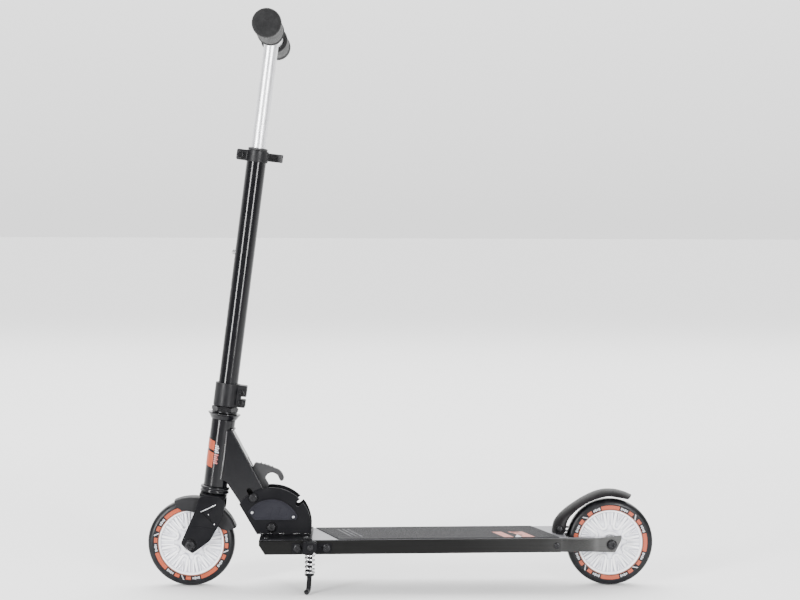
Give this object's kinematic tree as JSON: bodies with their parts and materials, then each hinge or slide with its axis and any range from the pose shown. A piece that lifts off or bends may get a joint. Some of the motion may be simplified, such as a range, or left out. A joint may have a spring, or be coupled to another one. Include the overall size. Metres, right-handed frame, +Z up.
{
  "type": "kick scooter",
  "caption": "Folding two-wheel kick scooter with a height-adjustable handlebar, rear fender brake and side kickstand.",
  "frame": {"origin": "on the floor, half way between the two axles, on the centre plane", "axes": "+Z up, -X towards the front wheel, +X towards the rear wheel, -Y towards the rider's left, where the kickstand is"},
  "size_m": [0.7, 0.35, 0.7766],
  "materials": {
    "gloss_black": "gloss black paint",
    "satin_black": "satin black powder coat",
    "brushed": "brushed silver",
    "steel": "zinc plated",
    "dark_steel": "black oxide",
    "chrome": "polished",
    "tyre": "smooth black polyurethane",
    "white": "glossy white",
    "foam": "matt black foam rubber",
    "tape": "dark grey grit",
    "plastic": "satin black",
    "badge": "matt dark grey"
  },
  "bodies": {
    "deck": {"deck": "brushed", "grip_tape": "tape", "bracket_base": "satin_black", "bracket_plate_left": "satin_black", "bracket_plate_right": "satin_black", "badge_left": "badge", "badge_right": "badge", "fold_pivot_bolt": "dark_steel", "fold_pivot_nut": "dark_steel", "stand_plate": "satin_black", "stand_bolt_front": "dark_steel", "stand_bolt_rear": "dark_steel", "stand_pivot_pin": "dark_steel", "rear_axle_bolt": "dark_steel", "rear_axle_nut": "dark_steel", "brake_bracket": "satin_black", "brake_pin": "dark_steel", "brake_spring": "steel", "deck_tie_rod": "dark_steel"},
    "neck": {"neck_frame": "gloss_black", "headset_cup_lower": "gloss_black", "headset_cup_upper": "gloss_black", "headset_bearing_lower": "steel", "headset_bearing_upper": "steel"},
    "lock": {"release_lever": "plastic", "lock_pin": "dark_steel"},
    "fork": {"fork": "satin_black", "front_fender": "plastic", "front_axle_bolt": "dark_steel", "front_axle_nut": "dark_steel", "headset_nut": "dark_steel", "stem_clamp": "satin_black", "stem_clamp_bolt_upper": "dark_steel", "stem_clamp_bolt_lower": "dark_steel", "stem_tube": "gloss_black", "height_clamp": "satin_black", "height_bush": "plastic", "clamp_skewer": "dark_steel"},
    "handlebar": {"inner_tube": "brushed", "height_clip": "steel", "handlebar_left": "brushed", "handlebar_right": "brushed", "grip_left": "foam", "grip_right": "foam"},
    "snap_left": {"snap_button_left": "steel"},
    "snap_right": {"snap_button_right": "steel"},
    "quick_release": {"quick_release_lever": "plastic"},
    "front_wheel": {"front_tyre": "tyre", "front_hub": "white", "front_bearing_left": "steel", "front_bearing_right": "steel", "front_bearing_sleeve": "steel"},
    "rear_wheel": {"rear_tyre": "tyre", "rear_hub": "white", "rear_bearing_left": "steel", "rear_bearing_right": "steel", "rear_bearing_sleeve": "steel"},
    "stand": {"kickstand_leg": "satin_black", "kickstand_spring": "chrome"},
    "brake": {"brake_fender": "satin_black"}
  },
  "joints": [
    {"name": "fold", "type": "hinge", "parent": "deck", "child": "neck", "pos_m": [-0.1789, 0, 0.0829], "axis": [0, 1, 0], "range_deg": [0, 80], "deforming": ["lock_pin"]},
    {"name": "lock_release", "type": "slide", "parent": "neck", "child": "lock", "axis": [-0.5255, 0, 0.8508], "range_m": [0, 0.0105], "stiffness_N_per_m": 300, "springref_m": -0.005},
    {"name": "steering", "type": "hinge", "parent": "neck", "child": "fork", "pos_m": [-0.2674, 0, 0.06], "axis": [0.126, 0, 0.992], "range_deg": [-90, 90]},
    {"name": "height", "type": "slide", "parent": "fork", "child": "handlebar", "axis": [0.126, 0, 0.992], "range_m": [-0.1, 0], "deforming": ["height_clip"]},
    {"name": "quick_release", "type": "hinge", "parent": "fork", "child": "quick_release", "pos_m": [-0.22217, 0.0172, 0.59456], "axis": [0.126, 0, 0.992], "range_deg": [0, 110]},
    {"name": "snap_left", "type": "slide", "parent": "handlebar", "child": "snap_left", "axis": [0.126, 0, 0.992], "range_m": [0, 0.003], "stiffness_N_per_m": 300, "springref_m": -0.002},
    {"name": "snap_right", "type": "slide", "parent": "handlebar", "child": "snap_right", "axis": [0.126, 0, 0.992], "range_m": [0, 0.003], "stiffness_N_per_m": 300, "springref_m": -0.002},
    {"name": "front_wheel_spin", "type": "hinge", "parent": "fork", "child": "front_wheel", "pos_m": [-0.29, 0, 0.06], "axis": [0, 1, 0], "continuous": true},
    {"name": "rear_wheel_spin", "type": "hinge", "parent": "deck", "child": "rear_wheel", "pos_m": [0.29, 0, 0.06], "axis": [0, 1, 0], "continuous": true},
    {"name": "kickstand", "type": "hinge", "parent": "deck", "child": "stand", "pos_m": [-0.1245, -0.0625, 0.0635], "axis": [0, -1, 0], "range_deg": [0, 90]},
    {"name": "brake", "type": "hinge", "parent": "deck", "child": "brake", "pos_m": [0.219, 0, 0.08], "axis": [0, 1, 0], "range_deg": [0, 6], "stiffness_Nm_per_rad": 2, "springref_deg": -6.88}
  ]
}
